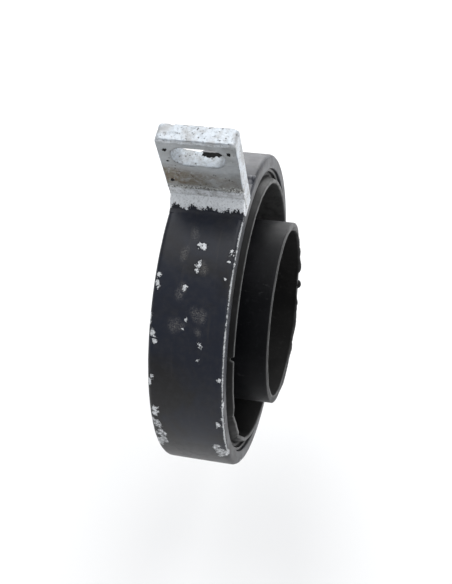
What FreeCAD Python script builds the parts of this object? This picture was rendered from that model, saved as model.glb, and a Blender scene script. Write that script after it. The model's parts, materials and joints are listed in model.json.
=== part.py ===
"""Cushioned ring clamp: a steel band with one slotted lug, holding a pipe sleeve in a rubber web.

Frame: +X along the bore towards the sleeve's protruding end, +Z up through the lug's root,
origin on the bore axis in the middle of the band's width. Millimetres and degrees.
"""
import FreeCAD, Part
import math
import os

# ---- pipe and sleeve ------------------------------------------------------------------------
PIPE_OD = 60.3              # DN 50 (2 inch) steel pipe
PIPE_CLEARANCE = 0.25       # radial, pipe to liner
LINER_WALL = 1.0
TUBE_WALL = 1.0
JACKET_WALL = 0.9
SLEEVE_BACK = -10.0         # x of the sleeve's hidden end
SLEEVE_FRONT = 22.4         # x of the liner's edge at the protruding end
LINER_PROUD = 0.6           # liner edge beyond the jacket, at each end
JACKET_END_WALL = 0.8       # rubber turned over the tube's ends
LINER_GROOVE_WIDTH = 2.0
LINER_GROOVE_DEPTH = 0.5
NUB_RADIUS = 1.5
NUB_SINK = 0.2              # dome centre below the jacket's end face
NUB_ANGLE = 121.0           # round +X from the lug, positive towards +Y

# ---- outer band -----------------------------------------------------------------------------
BAND_WALL = 5.0
BAND_WIDTH = 25.0
BAND_OUTER_ROUND = 1.6
BAND_INNER_ROUND = 0.4
SEAM_ANGLE = 12.0
SEAM_WIDTH_OUTSIDE = 3.4
SEAM_WIDTH_INSIDE = 1.4
SEAM_CROWN = 0.35

# ---- lug and its welds ----------------------------------------------------------------------
LUG_WIDTH = BAND_WIDTH
LUG_THICKNESS = 6.0
LUG_HEIGHT = 32.0           # from the band's surface to the tip, along the lug
LUG_LEAN = 10.0             # from radial, towards -Y
LUG_TIP_ROUND = 1.6
LUG_EDGE_ROUND = 0.4
SLOT_WIDTH = 8.4            # for an M8 bolt
SLOT_LENGTH = 17.0
SLOT_HEIGHT = 24.0          # slot centre above the band's surface, along the lug
WELD_LEG_LUG = 4.5
WELD_LEG_BAND = 4.0
WELD_BULGE = 0.7
WELD_END_INSET = 0.4
WELD_PREP = 1.5             # depth of the bevel that the weld fills, into each face of the lug

# ---- cushion cartridge ----------------------------------------------------------------------
SHELL_WALL = 1.2
SHELL_RECESS = 1.0          # shell edge below the band's front face
SHELL_FLANGE = 2.6          # inward depth of the shell's rear flange
RIM_WALL = 4.1              # rubber bonded inside the shell
LIP_PROUD = 1.4             # rubber lip beyond the band's front face
LIP_ROUND = 1.5
NOTCH_WIDTH = 1.6
NOTCH_DEPTH = 1.2
NOTCH_ANGLE = -58.0
WEB_ROOM = 13.4             # radial room for the web, from the jacket to the rim's rubber
WEB_X = -5.0                # middle of the web's flat rings
WEB_THICKNESS = 2.4
WEB_ROOT = 1.6              # radial width of the flat ring on the rim
BOND_WALL = 2.0             # radial width of the flat ring on the jacket
FLEX_GAP = 0.3              # between web rings that move on different bodies

# ---- worked out -----------------------------------------------------------------------------
BORE_R = PIPE_OD / 2 + PIPE_CLEARANCE
TUBE_INNER_R = BORE_R + LINER_WALL
TUBE_OUTER_R = TUBE_INNER_R + TUBE_WALL
JACKET_OUTER_R = TUBE_OUTER_R + JACKET_WALL
JACKET_FRONT = SLEEVE_FRONT - LINER_PROUD
JACKET_BACK = SLEEVE_BACK + LINER_PROUD
TUBE_FRONT = JACKET_FRONT - JACKET_END_WALL
TUBE_BACK = JACKET_BACK + JACKET_END_WALL

BAND_HALF = BAND_WIDTH / 2
RIM_INNER_R = JACKET_OUTER_R + WEB_ROOM
SHELL_INNER_R = RIM_INNER_R + RIM_WALL
BAND_INNER_R = SHELL_INNER_R + SHELL_WALL
BAND_OUTER_R = BAND_INNER_R + BAND_WALL
RIM_BACK = -BAND_HALF + SHELL_WALL
RIM_FRONT = BAND_HALF + LIP_PROUD

WEB_BACK = WEB_X - WEB_THICKNESS / 2
WEB_FRONT = WEB_X + WEB_THICKNESS / 2
WEB_ROOT_INNER_R = RIM_INNER_R - WEB_ROOT
BOND_INNER_R = JACKET_OUTER_R + FLEX_GAP
BOND_OUTER_R = BOND_INNER_R + BOND_WALL
CROWN_OUTER_R = WEB_ROOT_INNER_R - FLEX_GAP
CROWN_INNER_R = BOND_OUTER_R + FLEX_GAP

ORIGIN = FreeCAD.Vector(0, 0, 0)
ALONG_BORE = FreeCAD.Vector(1, 0, 0)
CUT_SLACK = 1.0             # how far a cutting tool runs past what it cuts


def at(x, radius, angle=0.0):
    """A point x along the bore and radius off it, angle degrees round from the lug towards +Y."""
    turn = math.radians(angle)
    return FreeCAD.Vector(x, radius * math.sin(turn), radius * math.cos(turn))


def turned_about_bore(shape, angle):
    """A copy of shape turned round the bore, from the lug towards +Y."""
    copy = shape.copy()
    copy.rotate(ORIGIN, ALONG_BORE, -angle)
    return copy


def revolved(edges):
    """A solid of revolution round the bore from the edges of one closed profile."""
    return Part.Face(Part.Wire(edges)).revolve(ORIGIN, ALONG_BORE, 360)


def polygon_edges(points):
    """Straight edges through the points and back to the first."""
    return [Part.makeLine(a, b) for a, b in zip(points, points[1:] + points[:1])]


def plain_ring(x_back, x_front, r_inner, r_outer):
    """A ring of rectangular section round the bore."""
    corners = [at(x_back, r_inner), at(x_front, r_inner), at(x_front, r_outer), at(x_back, r_outer)]
    return revolved(polygon_edges(corners))


def disc(x_back, x_front, radius):
    """A solid cylinder on the bore axis."""
    return Part.makeCylinder(radius, x_front - x_back, at(x_back, 0), ALONG_BORE)


def rounded_circles(solid, radius, size, faces_x):
    """The solid with its circular edges of this radius, at these x positions, rounded."""
    edges = []
    for edge in solid.Edges:
        box = edge.BoundBox
        is_circle = isinstance(edge.Curve, Part.Circle) and abs(edge.Curve.Radius - radius) < 1e-6
        if is_circle and any(abs(box.XMin - x) < 1e-6 and abs(box.XMax - x) < 1e-6 for x in faces_x):
            edges.append(edge)
    return solid.makeFillet(size, edges)


# ---- outer band -----------------------------------------------------------------------------
def seam_wedge(outer_r):
    """The V that the butt weld fills, across the full width of the band."""
    half_out = SEAM_WIDTH_OUTSIDE / 2
    half_in = SEAM_WIDTH_INSIDE / 2
    low = BAND_INNER_R - CUT_SLACK
    corners = [
        FreeCAD.Vector(-BAND_HALF, -half_in, low),
        FreeCAD.Vector(-BAND_HALF, half_in, low),
        FreeCAD.Vector(-BAND_HALF, half_out, outer_r),
        FreeCAD.Vector(-BAND_HALF, -half_out, outer_r),
    ]
    face = Part.Face(Part.Wire(polygon_edges(corners)))
    wedge = face.extrude(FreeCAD.Vector(BAND_WIDTH, 0, 0))
    return turned_about_bore(wedge, SEAM_ANGLE)


def outer_band():
    """Flat bar rolled to a ring, with rounded edges and a V where its ends meet."""
    ring = plain_ring(-BAND_HALF, BAND_HALF, BAND_INNER_R, BAND_OUTER_R)
    ring = rounded_circles(ring, BAND_OUTER_R, BAND_OUTER_ROUND, (-BAND_HALF, BAND_HALF))
    ring = rounded_circles(ring, BAND_INNER_R, BAND_INNER_ROUND, (-BAND_HALF, BAND_HALF))
    return ring.cut(seam_wedge(BAND_OUTER_R + CUT_SLACK))


def band_seam_weld():
    """The butt weld that closes the band, flush inside and slightly proud outside."""
    weld_half = BAND_HALF - WELD_END_INSET
    wedge = seam_wedge(BAND_OUTER_R + CUT_SLACK)
    ring = plain_ring(-weld_half, weld_half, BAND_INNER_R, BAND_OUTER_R + SEAM_CROWN)
    return wedge.common(ring)


# ---- lug and its welds ----------------------------------------------------------------------
def leaned(shape):
    """The shape tipped from radial to the lug's lean, about the lug's root on the band."""
    copy = shape.copy()
    copy.rotate(at(0, BAND_OUTER_R), ALONG_BORE, LUG_LEAN)
    return copy


def lug_plate():
    """The lug's flat bar, running down past the band's surface."""
    foot = BAND_OUTER_R - LUG_THICKNESS / 2
    corner = FreeCAD.Vector(-LUG_WIDTH / 2, -LUG_THICKNESS / 2, foot)
    plate = Part.makeBox(LUG_WIDTH, LUG_THICKNESS, BAND_OUTER_R + LUG_HEIGHT - foot, corner)
    tip = BAND_OUTER_R + LUG_HEIGHT
    corners = [e for e in plate.Edges if e.BoundBox.ZMin > tip - 1e-6 and e.BoundBox.XLength < 1e-6]
    plate = plate.makeFillet(LUG_TIP_ROUND, corners)
    rim = [e for e in plate.Edges if e.BoundBox.YLength < 1e-6 and e.BoundBox.ZMax > foot + 1e-6]
    return plate.makeFillet(LUG_EDGE_ROUND, rim)


def slot_cutter():
    """The slot's through shape, before the lug is leaned."""
    reach = LUG_THICKNESS + 2 * CUT_SLACK
    start_y = -reach / 2
    height = BAND_OUTER_R + SLOT_HEIGHT
    run = SLOT_LENGTH - SLOT_WIDTH
    through = FreeCAD.Vector(0, 1, 0)
    cutter = Part.makeBox(run, reach, SLOT_WIDTH, FreeCAD.Vector(-run / 2, start_y, height - SLOT_WIDTH / 2))
    for side in (-1, 1):
        centre = FreeCAD.Vector(side * run / 2, start_y, height)
        cutter = cutter.fuse(Part.makeCylinder(SLOT_WIDTH / 2, reach, centre, through))
    return cutter.removeSplitter()


def band_envelope():
    """The whole disc inside the band's outer surface, as long as any piece on the band."""
    return disc(-BAND_HALF - CUT_SLACK, BAND_HALF + CUT_SLACK, BAND_OUTER_R)


def weld_prism(side, start_x, length):
    """The fillet and the bevel it fills, before the band's curve is cut from it.

    side is -1 for the lug's -Y face and +1 for its +Y face.
    """
    lean = math.radians(LUG_LEAN)
    up_lug = FreeCAD.Vector(0, -math.sin(lean), math.cos(lean))
    outward = FreeCAD.Vector(0, math.cos(lean), math.sin(lean)) * side

    on_face = at(start_x, BAND_OUTER_R) + outward * (LUG_THICKNESS / 2)
    height = on_face.y * up_lug.y + on_face.z * up_lug.z
    beyond = on_face.y ** 2 + on_face.z ** 2 - BAND_OUTER_R ** 2
    corner = on_face + up_lug * (math.sqrt(height ** 2 - beyond) - height)

    toe_angle = math.degrees(math.atan2(corner.y, corner.z) + side * WELD_LEG_BAND / BAND_OUTER_R)
    upper_toe = corner + up_lug * WELD_LEG_LUG
    lower_toe = at(start_x, BAND_OUTER_R, toe_angle)
    bevel_foot = corner - up_lug * CUT_SLACK - outward * WELD_PREP
    below_toe = at(start_x, BAND_OUTER_R - CUT_SLACK, toe_angle)
    middle = (upper_toe + lower_toe) * 0.5
    crest = middle + (middle - corner).normalize() * WELD_BULGE
    edges = [
        Part.makeLine(below_toe, bevel_foot),
        Part.makeLine(bevel_foot, upper_toe),
        Part.Arc(upper_toe, crest, lower_toe).toShape(),
        Part.makeLine(lower_toe, below_toe),
    ]
    return Part.Face(Part.Wire(edges)).extrude(FreeCAD.Vector(length, 0, 0))


def mounting_lug():
    """Slotted flat-bar lug, its foot bevelled for the welds and cut to the band's curve."""
    lug = leaned(lug_plate().cut(slot_cutter()))
    for side in (-1, 1):
        lug = lug.cut(weld_prism(side, -LUG_WIDTH / 2 - CUT_SLACK, LUG_WIDTH + 2 * CUT_SLACK))
    return lug.cut(band_envelope())


def lug_weld(side):
    """Fillet weld along one face of the lug's root, stopping just short of the band's edges."""
    length = LUG_WIDTH - 2 * WELD_END_INSET
    return weld_prism(side, -length / 2, length).cut(band_envelope())


# ---- cushion cartridge ----------------------------------------------------------------------
def cushion_shell():
    """Pressed steel cup inside the band, with an inward flange at the hidden end."""
    flange_r = SHELL_INNER_R - SHELL_FLANGE
    front = BAND_HALF - SHELL_RECESS
    profile = [
        at(-BAND_HALF, flange_r),
        at(RIM_BACK, flange_r),
        at(RIM_BACK, SHELL_INNER_R),
        at(front, SHELL_INNER_R),
        at(front, BAND_INNER_R),
        at(-BAND_HALF, BAND_INNER_R),
    ]
    shell = revolved(polygon_edges(profile))
    return rounded_circles(shell, BAND_INNER_R, BAND_INNER_ROUND, (-BAND_HALF,))


def cushion_rim():
    """Rubber bonded in the shell, with a rounded lip proud of the band and one small notch."""
    ring = plain_ring(RIM_BACK, RIM_FRONT, RIM_INNER_R, SHELL_INNER_R)
    ring = rounded_circles(ring, RIM_INNER_R, LIP_ROUND, (RIM_FRONT,))
    ring = rounded_circles(ring, SHELL_INNER_R, LIP_ROUND, (RIM_FRONT,))
    low = FreeCAD.Vector(RIM_FRONT - NOTCH_DEPTH, -NOTCH_WIDTH / 2, RIM_INNER_R - CUT_SLACK)
    notch = Part.makeBox(NOTCH_DEPTH + CUT_SLACK, NOTCH_WIDTH, RIM_WALL + 2 * CUT_SLACK, low)
    return ring.cut(turned_about_bore(notch, NOTCH_ANGLE))


def web_root():
    """Flat rubber ring where the web leaves the rim."""
    return plain_ring(WEB_BACK, WEB_FRONT, WEB_ROOT_INNER_R, RIM_INNER_R)


def web_crown():
    """The web's folded loop: a half-round arch with short legs, bulging towards the front."""
    middle_r = (CROWN_OUTER_R + CROWN_INNER_R) / 2
    outer = (CROWN_OUTER_R - CROWN_INNER_R) / 2
    inner = outer - WEB_THICKNESS
    edges = [
        Part.makeLine(at(WEB_BACK, middle_r + outer), at(WEB_X, middle_r + outer)),
        Part.Arc(at(WEB_X, middle_r + outer), at(WEB_X + outer, middle_r), at(WEB_X, middle_r - outer)).toShape(),
        Part.makeLine(at(WEB_X, middle_r - outer), at(WEB_BACK, middle_r - outer)),
        Part.makeLine(at(WEB_BACK, middle_r - outer), at(WEB_BACK, middle_r - inner)),
        Part.makeLine(at(WEB_BACK, middle_r - inner), at(WEB_X, middle_r - inner)),
        Part.Arc(at(WEB_X, middle_r - inner), at(WEB_X + inner, middle_r), at(WEB_X, middle_r + inner)).toShape(),
        Part.makeLine(at(WEB_X, middle_r + inner), at(WEB_BACK, middle_r + inner)),
        Part.makeLine(at(WEB_BACK, middle_r + inner), at(WEB_BACK, middle_r + outer)),
    ]
    return revolved(edges)


def web_bond():
    """Flat rubber ring where the web meets the sleeve's jacket."""
    return plain_ring(WEB_BACK, WEB_FRONT, BOND_INNER_R, BOND_OUTER_R)


# ---- sleeve ---------------------------------------------------------------------------------
def sleeve_tube():
    """Steel tube that stiffens the sleeve."""
    return plain_ring(TUBE_BACK, TUBE_FRONT, TUBE_INNER_R, TUBE_OUTER_R)


def sleeve_jacket():
    """Rubber over the tube's outside, turned over its two ends down to the liner."""
    profile = [
        at(JACKET_BACK, TUBE_INNER_R),
        at(TUBE_BACK, TUBE_INNER_R),
        at(TUBE_BACK, TUBE_OUTER_R),
        at(TUBE_FRONT, TUBE_OUTER_R),
        at(TUBE_FRONT, TUBE_INNER_R),
        at(JACKET_FRONT, TUBE_INNER_R),
        at(JACKET_FRONT, JACKET_OUTER_R),
        at(JACKET_BACK, JACKET_OUTER_R),
    ]
    jacket = revolved(polygon_edges(profile))
    return rounded_circles(jacket, JACKET_OUTER_R, JACKET_WALL / 2, (JACKET_FRONT, JACKET_BACK))


def sleeve_liner():
    """Thin rubber liner that grips the pipe, with one shallow groove along the bore."""
    liner = plain_ring(SLEEVE_BACK, SLEEVE_FRONT, BORE_R, TUBE_INNER_R)
    length = SLEEVE_FRONT - SLEEVE_BACK + 2 * CUT_SLACK
    corner = FreeCAD.Vector(SLEEVE_BACK - CUT_SLACK, -LINER_GROOVE_WIDTH / 2, BORE_R - CUT_SLACK)
    groove = Part.makeBox(length, LINER_GROOVE_WIDTH, CUT_SLACK + LINER_GROOVE_DEPTH, corner)
    return liner.cut(turned_about_bore(groove, NUB_ANGLE))


def moulding_nub():
    """Small round rubber pip on the jacket's front face, beside the liner."""
    nub_r = TUBE_INNER_R + NUB_RADIUS
    ball = Part.makeSphere(NUB_RADIUS, at(JACKET_FRONT - NUB_SINK, nub_r, NUB_ANGLE))
    return ball.cut(disc(SLEEVE_BACK, JACKET_FRONT, JACKET_OUTER_R + 2 * NUB_RADIUS))


NODES = {
    "outer_band": outer_band,
    "band_seam_weld": band_seam_weld,
    "mounting_lug": mounting_lug,
    "lug_weld_front": lambda: lug_weld(-1),
    "lug_weld_back": lambda: lug_weld(1),
    "cushion_shell": cushion_shell,
    "cushion_rim": cushion_rim,
    "web_root": web_root,
    "web_crown": web_crown,
    "web_bond": web_bond,
    "sleeve_tube": sleeve_tube,
    "sleeve_jacket": sleeve_jacket,
    "sleeve_liner": sleeve_liner,
    "moulding_nub": moulding_nub,
}


def main():
    os.makedirs("parts", exist_ok=True)
    for node, make in NODES.items():
        shape = make()
        solids = shape.Solids
        if len(solids) != 1 or not solids[0].isValid():
            raise ValueError(f"{node} is not one valid solid: {len(solids)}")
        solids[0].exportStep(f"parts/{node}.step")
        print(node, round(solids[0].Volume, 1), "mm3")


main()
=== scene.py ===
import json
import math
import random

import bmesh
import bpy
import numpy as np
from mathutils import Matrix, Vector, noise


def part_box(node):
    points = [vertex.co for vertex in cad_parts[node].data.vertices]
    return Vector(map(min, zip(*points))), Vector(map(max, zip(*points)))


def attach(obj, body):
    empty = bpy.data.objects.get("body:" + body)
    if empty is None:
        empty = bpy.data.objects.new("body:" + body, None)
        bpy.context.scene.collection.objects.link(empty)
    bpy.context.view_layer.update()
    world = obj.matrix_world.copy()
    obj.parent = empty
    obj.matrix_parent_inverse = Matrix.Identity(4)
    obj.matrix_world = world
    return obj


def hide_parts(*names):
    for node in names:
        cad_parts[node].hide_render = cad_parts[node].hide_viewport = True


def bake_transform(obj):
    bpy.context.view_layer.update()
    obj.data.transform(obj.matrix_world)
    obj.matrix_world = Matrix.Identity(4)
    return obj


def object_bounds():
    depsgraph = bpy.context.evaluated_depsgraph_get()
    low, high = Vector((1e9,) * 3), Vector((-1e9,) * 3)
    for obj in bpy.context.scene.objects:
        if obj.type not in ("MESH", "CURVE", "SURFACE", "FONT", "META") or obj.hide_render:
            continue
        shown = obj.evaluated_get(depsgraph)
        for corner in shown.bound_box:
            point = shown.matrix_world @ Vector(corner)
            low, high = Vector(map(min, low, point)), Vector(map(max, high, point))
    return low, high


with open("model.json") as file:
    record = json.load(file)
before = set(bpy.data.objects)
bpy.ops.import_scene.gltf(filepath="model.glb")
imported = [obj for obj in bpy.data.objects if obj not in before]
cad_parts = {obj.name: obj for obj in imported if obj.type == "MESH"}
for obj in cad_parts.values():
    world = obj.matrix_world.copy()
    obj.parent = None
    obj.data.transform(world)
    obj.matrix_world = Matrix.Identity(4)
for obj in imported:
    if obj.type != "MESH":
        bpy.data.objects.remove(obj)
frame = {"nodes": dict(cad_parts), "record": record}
CAD_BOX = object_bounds()
MM = 0.001


# ---- sizes, read from the frame -------------------------------------------------------------
def outer_radius(node):
    """The radius of a ring-shaped node, from its box."""
    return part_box(node)[1][2]


def span(node):
    """Where a node starts and ends along the bore."""
    low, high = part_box(node)
    return low[0], high[0]


def mount(name):
    return next(m for m in frame["record"]["mounts"] if m["name"] == name)


BAND_R = -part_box("outer_band")[0][2]
BAND_HALF = span("outer_band")[1]
BAND_INNER_R = outer_radius("cushion_shell")
SHELL_INNER_R = -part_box("cushion_rim")[0][2]
RIM_INNER_R = outer_radius("web_root")
CROWN_OUTER_R = outer_radius("web_crown")
BOND_OUTER_R = outer_radius("web_bond")
JACKET_R = outer_radius("sleeve_jacket")
LINER_R = outer_radius("sleeve_liner")
BORE_R = mount("pipe_bore")["dims"]["r_mm"] * MM
SEAT_NORMAL = Vector(mount("lug_seat")["axis"])
SLOT_CENTRE = Vector(mount("lug_slot")["pos_m"])

BAND_ROUND = 1.6 * MM
SEAM_ANGLE = 12.0
NUB_ANGLE = 121.0
NOTCH_ANGLE = -58.0
LUG_THICKNESS = 6.0 * MM
LUG_TIP_ROUND = 1.6 * MM
SLOT_WIDTH = 8.4 * MM
SLOT_LENGTH = 17.0 * MM

# the lug's own directions: across its thickness, and up from the band to its tip
LUG_ACROSS = SEAT_NORMAL.normalized()
LUG_UP = LUG_ACROSS.cross(Vector((-1, 0, 0))).normalized()
LUG_ROOT = Vector((0, 0, BAND_R))
SLOT_HEIGHT = (SLOT_CENTRE - LUG_ROOT).dot(LUG_UP)


def at(x, radius, angle=0.0):
    """A point x along the bore and radius off it, angle degrees round from the lug towards +Y."""
    turn = math.radians(angle)
    return Vector((x, radius * math.sin(turn), radius * math.cos(turn)))


def angle_of(point):
    return math.degrees(math.atan2(point.y, point.z))


def angle_gap(a, b):
    """How far angle a is round from angle b, in degrees from -180 to 180."""
    return (a - b + 180.0) % 360.0 - 180.0


def noise_1d(x, scale, row):
    return noise.noise(Vector((x * scale, row, 0.0)))


def fade(value, low, high):
    """Nought below low, one above high, even between."""
    return max(0.0, min(1.0, (value - low) / (high - low)))


# ---- mesh helpers ---------------------------------------------------------------------------
def finished(bm, name, material):
    """The bmesh as a smooth-shaded object with its material."""
    mesh = bpy.data.meshes.new(name)
    bm.to_mesh(mesh)
    bm.free()
    mesh.polygons.foreach_set("use_smooth", [True] * len(mesh.polygons))
    obj = bpy.data.objects.new(name, mesh)
    bpy.context.scene.collection.objects.link(obj)
    mesh.materials.append(material)
    return obj


def closed_profile(bm, corners):
    """A closed wire through (x, radius, rounding) corners, with its corners rounded."""
    verts = [bm.verts.new(at(x, radius)) for x, radius, _ in corners]
    for a, b in zip(verts, verts[1:] + verts[:1]):
        bm.edges.new((a, b))
    rounded = [(v, size) for v, (_, _, size) in zip(verts, corners) if size]
    for vert, size in rounded:
        bmesh.ops.bevel(bm, geom=[vert], offset=size, segments=6, profile=0.5,
                        affect="VERTICES", material=-1)


def divide_long_edges(bm, spacing):
    """Cuts every edge that is longer than the spacing into equal shorter ones."""
    for edge in bm.edges[:]:
        cuts = math.ceil(edge.calc_length() / spacing) - 1
        if cuts > 0:
            bmesh.ops.subdivide_edges(bm, edges=[edge], cuts=cuts)


SPIN_PARTS = 8


def spun_ring(corners, steps, spacing):
    """A closed ring round the bore from a profile of (x, radius, rounding) corners."""
    bm = bmesh.new()
    closed_profile(bm, corners)
    divide_long_edges(bm, spacing)
    share = 2 * math.pi / SPIN_PARTS
    bmesh.ops.spin(bm, geom=bm.verts[:] + bm.edges[:], cent=(0, 0, 0), axis=(1, 0, 0),
                   angle=share, steps=steps // SPIN_PARTS)
    first = bm.verts[:] + bm.edges[:] + bm.faces[:]
    for part in range(1, SPIN_PARTS):
        copy = bmesh.ops.duplicate(bm, geom=first)["geom"]
        verts = [g for g in copy if isinstance(g, bmesh.types.BMVert)]
        bmesh.ops.rotate(bm, verts=verts, cent=(0, 0, 0), matrix=Matrix.Rotation(share * part, 3, "X"))
    bmesh.ops.remove_doubles(bm, verts=bm.verts, dist=1e-6)
    bmesh.ops.recalc_face_normals(bm, faces=bm.faces)
    return bm


def store(obj, name, values):
    """Keeps one number for each vertex, for the material to read."""
    attribute = obj.data.attributes.new(name, "FLOAT", "POINT")
    attribute.data.foreach_set("value", np.asarray(values, dtype=np.float32))


def coords(obj):
    co = np.zeros(len(obj.data.vertices) * 3)
    obj.data.vertices.foreach_get("co", co)
    return co.reshape(-1, 3)


# ---- material helpers -----------------------------------------------------------------------
class Finish:
    """A material with one Principled shader, and short calls for the nodes that feed it."""

    def __init__(self, name, base, roughness, metallic=0.0, **sockets):
        self.material = bpy.data.materials.new(name)
        self.material.use_nodes = True
        self.tree = self.material.node_tree
        self.shader = self.tree.nodes["Principled BSDF"]
        self.set("Base Color", (*base, 1.0))
        self.set("Roughness", roughness)
        self.set("Metallic", metallic)
        for socket, value in sockets.items():
            self.set(socket.replace("_", " "), value)
        self.place = self.tree.nodes.new("ShaderNodeTexCoord").outputs["Object"]

    def set(self, socket, value):
        """Feeds a shader socket with a number or colour, or with a node's output."""
        if isinstance(value, bpy.types.NodeSocket):
            self.tree.links.new(value, self.shader.inputs[socket])
        else:
            self.shader.inputs[socket].default_value = value

    def feed(self, node, socket, value):
        if isinstance(value, bpy.types.NodeSocket):
            self.tree.links.new(value, node.inputs[socket])
        else:
            node.inputs[socket].default_value = value

    def noise(self, scale, detail=3.0, rough=0.55, warp=0.0, place=None):
        node = self.tree.nodes.new("ShaderNodeTexNoise")
        self.feed(node, "Vector", place or self.place)
        self.feed(node, "Scale", scale)
        self.feed(node, "Detail", detail)
        self.feed(node, "Roughness", rough)
        self.feed(node, "Distortion", warp)
        return node.outputs["Fac"]

    def cells(self, scale):
        node = self.tree.nodes.new("ShaderNodeTexVoronoi")
        self.feed(node, "Vector", self.place)
        self.feed(node, "Scale", scale)
        return node.outputs["Distance"]

    def stretched(self, scale, turn=(0.0, 0.0, 0.0)):
        """The object's coordinates scaled and turned, for a pattern that runs one way."""
        node = self.tree.nodes.new("ShaderNodeMapping")
        self.feed(node, "Vector", self.place)
        self.feed(node, "Rotation", turn)
        self.feed(node, "Scale", scale)
        return node.outputs["Vector"]

    def attribute(self, name):
        node = self.tree.nodes.new("ShaderNodeAttribute")
        node.attribute_name = name
        return node.outputs["Fac"]

    def math(self, operation, a, b):
        node = self.tree.nodes.new("ShaderNodeMath")
        node.operation = operation
        self.feed(node, 0, a)
        self.feed(node, 1, b)
        return node.outputs[0]

    def step(self, value, low, high, to_low=0.0, to_high=1.0):
        """A smooth ramp of the value between two levels."""
        node = self.tree.nodes.new("ShaderNodeMapRange")
        node.interpolation_type = "SMOOTHSTEP"
        self.feed(node, "Value", value)
        self.feed(node, "From Min", low)
        self.feed(node, "From Max", high)
        self.feed(node, "To Min", to_low)
        self.feed(node, "To Max", to_high)
        return node.outputs["Result"]

    def mix(self, factor, a, b):
        node = self.tree.nodes.new("ShaderNodeMix")
        node.data_type = "RGBA"
        self.feed(node, 0, factor)
        for index, value in ((6, a), (7, b)):
            self.feed(node, index, value if isinstance(value, bpy.types.NodeSocket) else (*value, 1.0))
        return node.outputs[2]

    def blend(self, factor, a, b):
        node = self.tree.nodes.new("ShaderNodeMix")
        node.data_type = "FLOAT"
        self.feed(node, 0, factor)
        self.feed(node, 2, a)
        self.feed(node, 3, b)
        return node.outputs[0]

    def bump(self, height, distance, strength=1.0, under=None):
        node = self.tree.nodes.new("ShaderNodeBump")
        self.feed(node, "Height", height)
        self.feed(node, "Distance", distance)
        self.feed(node, "Strength", strength)
        if under is not None:
            self.tree.links.new(under, node.inputs["Normal"])
        return node.outputs["Normal"]


# ---- finishes -------------------------------------------------------------------------------
BARE_STEEL = (0.74, 0.76, 0.78)
DULL_STEEL = (0.36, 0.37, 0.38)
# Weld metal's pale colour, raised towards white as painted light that makes up for the shade the weld lies
# in.
WELD_METAL_WITH_PAINTED_LIGHT = (0.92, 0.95, 0.98)
DARK_WELD = (0.58, 0.60, 0.62)
BLACK_PAINT = (0.010, 0.011, 0.016)
FADED_PAINT = (0.0165, 0.0160, 0.0170)
SLATE_PAINT = (0.0162, 0.0194, 0.0305)


def chipped_paint(name, metal_light=BARE_STEEL, metal_dark=DULL_STEEL):
    """Semi-gloss black paint over steel, gone where the piece's bare attribute is above nought."""
    f = Finish(name, BLACK_PAINT, 0.4, Specular_IOR_Level=0.25)
    ragged = f.math("MULTIPLY", f.math("SUBTRACT", f.noise(2100.0, 5.0, 0.75), 0.5), 2.6)
    coarse = f.math("MULTIPLY", f.math("SUBTRACT", f.noise(960.0, 2.0, 0.5), 0.5), 1.7)
    chipped = f.math("ADD", f.attribute("bare"), f.math("ADD", ragged, coarse))
    worn = f.math("ADD", f.attribute("worn"), f.math("MULTIPLY", ragged, 0.45))
    depth = f.math("MAXIMUM", chipped, worn)
    bare = f.step(depth, 0.02, 0.12)

    blue = f.step(f.noise(38.0, 4.0, 0.60, 0.8), 0.38, 0.60)
    fine = f.step(f.noise(430.0, 3.0, 0.65), 0.38, 0.75)
    paint = f.mix(blue, FADED_PAINT, SLATE_PAINT)
    paint = f.mix(f.math("MULTIPLY", fine, 0.40), paint, (0.034, 0.034, 0.038))
    streaks = f.step(f.noise(1.0, 3.0, 0.6, 0.0, f.stretched((520.0, 70.0, 70.0))), 0.58, 0.78)
    paint = f.mix(f.math("MULTIPLY", streaks, 0.30), paint, (0.050, 0.047, 0.045))
    broken = f.step(f.noise(2600.0, 4.0, 0.75), 0.40, 0.66)
    scuff = f.math("MULTIPLY", f.attribute("scuff"), broken)
    paint = f.mix(f.math("MULTIPLY", scuff, 0.45), paint, (0.26, 0.25, 0.24))

    tarnish = f.step(f.noise(1500.0, 4.0, 0.75), 0.46, 0.70)
    metal = f.mix(tarnish, metal_light, metal_dark)
    along_edge = f.math("MULTIPLY", f.step(f.math("SUBTRACT", worn, chipped), 0.0, 0.3), 0.55)
    metal = f.mix(along_edge, metal, metal_dark)
    dull = f.math("MULTIPLY", f.attribute("dull"), f.step(f.noise(1100.0, 4.0, 0.7), 0.36, 0.60))
    metal = f.mix(f.math("MULTIPLY", dull, 0.85), metal, (0.085, 0.085, 0.09))
    f.set("Base Color", f.mix(bare, paint, metal))
    f.set("Metallic", f.math("MULTIPLY", bare, 0.2))

    satin = f.math("ADD", f.math("MULTIPLY", blue, -0.05), f.math("MULTIPLY", fine, 0.10))
    paint_rough = f.math("ADD", satin, f.math("ADD", f.math("MULTIPLY", scuff, 0.20), 0.38))
    f.set("Roughness", f.blend(bare, paint_rough, f.blend(tarnish, 0.40, 0.60)))

    film = f.bump(f.math("SUBTRACT", 1.0, f.step(depth, -0.20, 0.10)), 0.00014, 0.9)
    f.set("Normal", f.bump(f.noise(1100.0, 3.0, 0.6), 0.00004, 0.5, film))
    return f.material


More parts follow.
